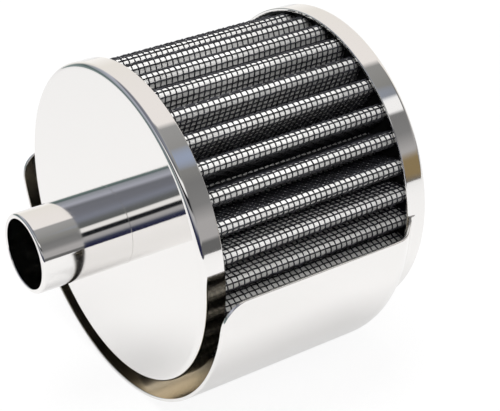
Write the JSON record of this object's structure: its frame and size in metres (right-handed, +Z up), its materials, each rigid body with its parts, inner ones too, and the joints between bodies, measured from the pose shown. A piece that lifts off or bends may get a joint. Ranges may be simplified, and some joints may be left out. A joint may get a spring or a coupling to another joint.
{
  "type": "crankcase breather filter",
  "caption": "Round crankcase breather filter with a pleated gauze drum between pressed chrome caps, a plain push-in neck tube and a half-round splash shield.",
  "frame": {"origin": "on the drum's axis, in the outer face of the bottom cap, where the neck tube leaves it", "axes": "+X along the drum from the neck to the top cap, +Z up, away from the shield"},
  "size_m": [0.0857, 0.0932, 0.0816],
  "materials": {
    "bottom_cap": "polished",
    "top_cap": "polished",
    "neck_tube": "polished",
    "shield": "polished",
    "outer_screen": "satin black wire",
    "cotton_gauze": "woven",
    "bottom_seal": "matt",
    "top_seal": "matt"
  },
  "bodies": {
    "root": {"bottom_cap": "bottom_cap", "top_cap": "top_cap", "neck_tube": "neck_tube", "shield": "shield", "outer_screen": "outer_screen", "cotton_gauze": "cotton_gauze", "bottom_seal": "bottom_seal", "top_seal": "top_seal"}
  },
  "joints": []
}
